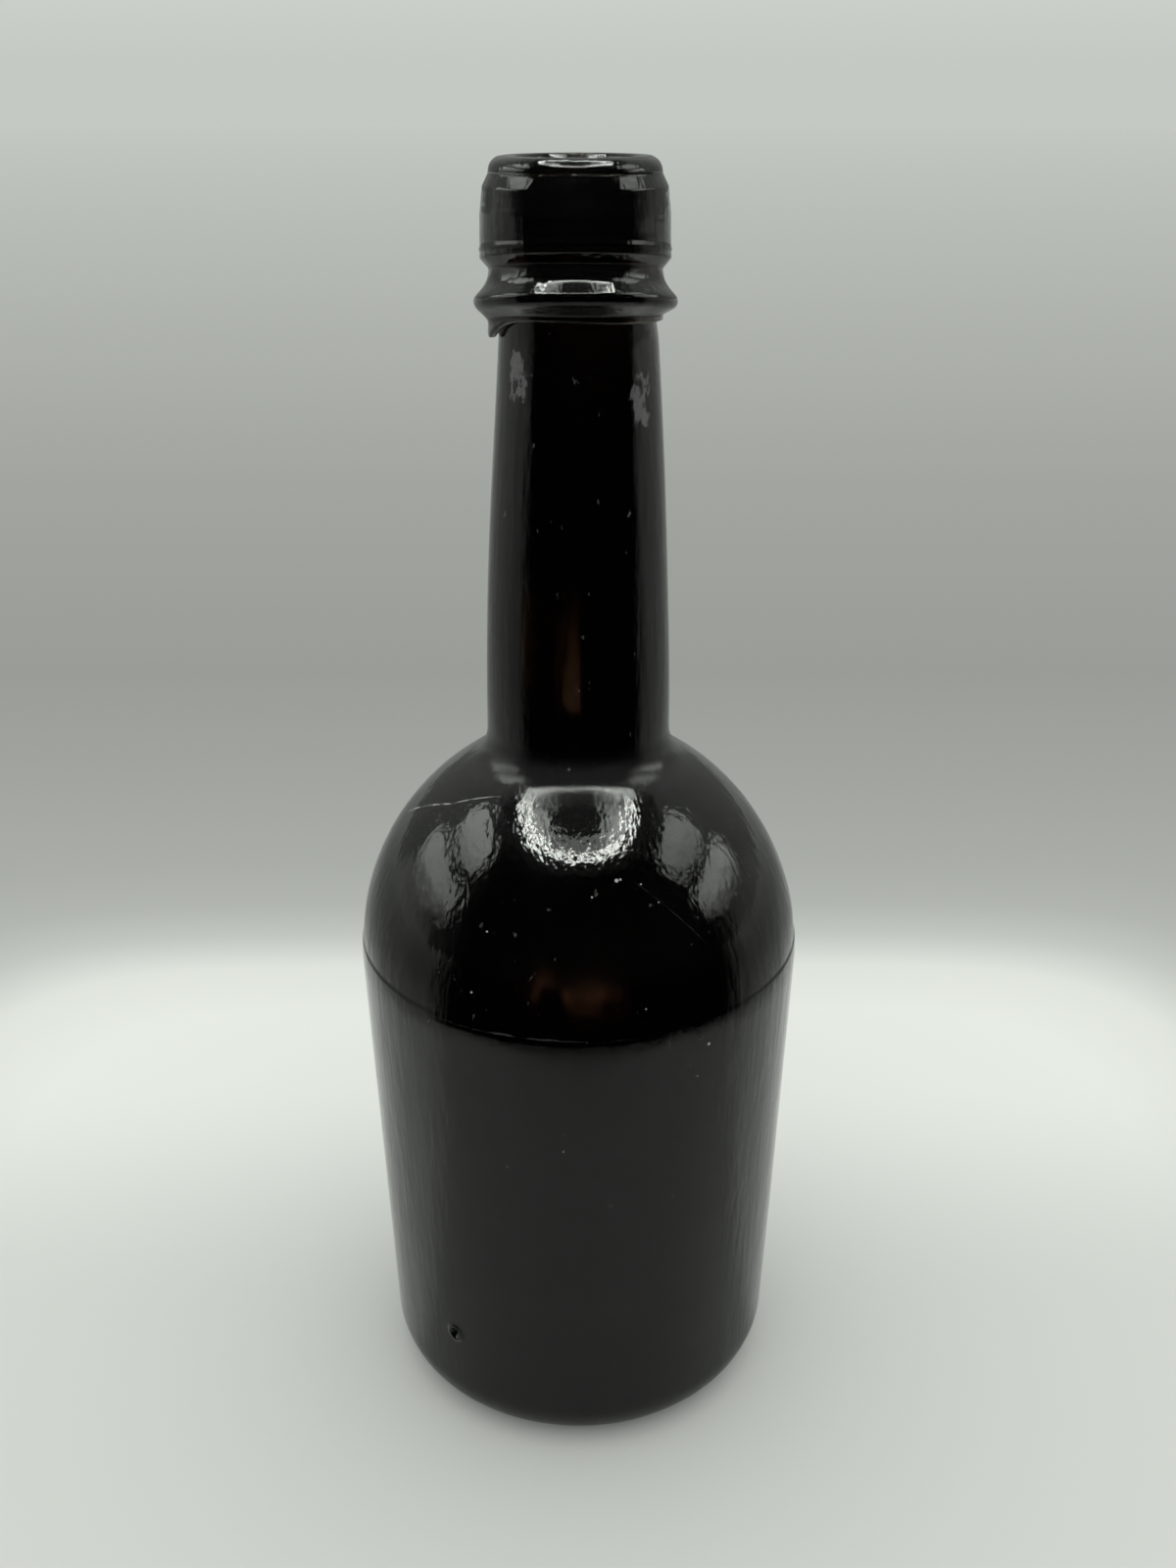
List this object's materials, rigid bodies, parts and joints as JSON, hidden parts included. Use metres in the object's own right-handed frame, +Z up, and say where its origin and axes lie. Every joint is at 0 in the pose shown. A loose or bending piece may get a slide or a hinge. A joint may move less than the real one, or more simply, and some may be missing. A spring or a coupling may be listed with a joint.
{
  "type": "glass bottle",
  "caption": "Squat bottle of very dark glass with a domed shoulder, tapering neck, pushed-up base and an applied lip with a collar ring.",
  "frame": {"origin": "centre of the flat surface that the bottle stands on", "axes": "+Z up along the bottle's axis, -Y towards the side that faces the viewer, +X to the viewer's right"},
  "size_m": [0.086, 0.086, 0.24],
  "materials": {
    "bottle_glass": "glossy, very dark olive-amber, slightly wavy",
    "finish_glass": "glossy, very dark olive-amber, tooled"
  },
  "bodies": {
    "root": {"blown_bottle": "bottle_glass", "applied_finish": "finish_glass"}
  },
  "joints": []
}
